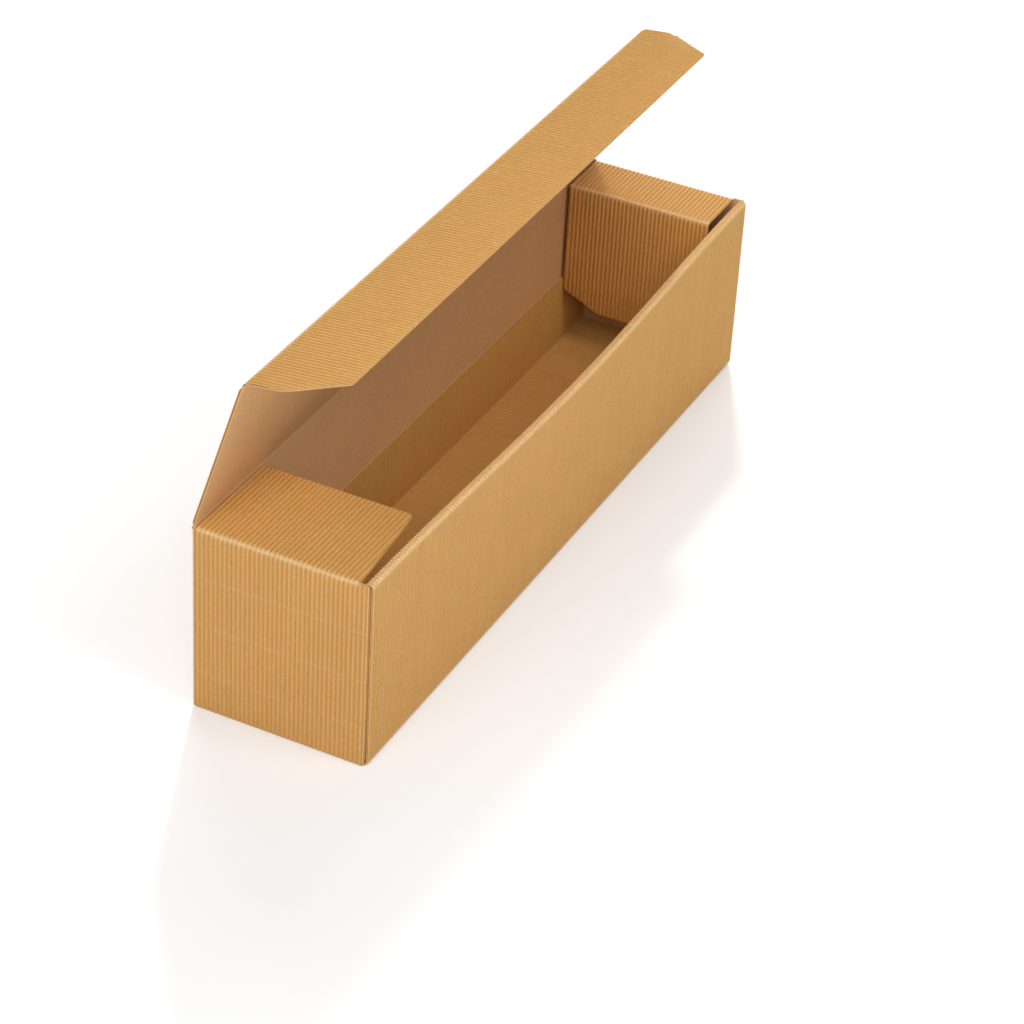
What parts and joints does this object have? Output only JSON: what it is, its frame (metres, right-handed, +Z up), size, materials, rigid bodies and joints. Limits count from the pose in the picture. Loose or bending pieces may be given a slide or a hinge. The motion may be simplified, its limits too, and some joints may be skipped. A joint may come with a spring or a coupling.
{
  "type": "bottle shipping box",
  "caption": "Long folded card box for one bottle, open waves outside, with a hinged lid and tuck flap, a double front wall, a dust flap and a folded spacer.",
  "frame": {"origin": "middle of the base, on the surface that the box stands on", "axes": "+X along the box towards the spacer end, +Y across it towards the lid's hinge, +Z up"},
  "size_m": [0.384, 0.09, 0.1758],
  "materials": {
    "board": "matt brown kraft paper, open waves outside and smooth inside"
  },
  "bodies": {
    "tray": {"tray": "board"},
    "lid": {"lid": "board"},
    "tuck_flap": {"tuck_flap": "board"}
  },
  "joints": [
    {"name": "lid_hinge", "type": "hinge", "parent": "tray", "child": "lid", "pos_m": [0, 0.04235, 0.09495], "axis": [-1, 0, 0], "range_deg": [-60, 106.7]},
    {"name": "tuck_fold", "type": "hinge", "parent": "lid", "child": "tuck_flap", "pos_m": [0, 0.01898, 0.17057], "axis": [-1, 0, 0], "range_deg": [-102.4, 67.6]}
  ]
}
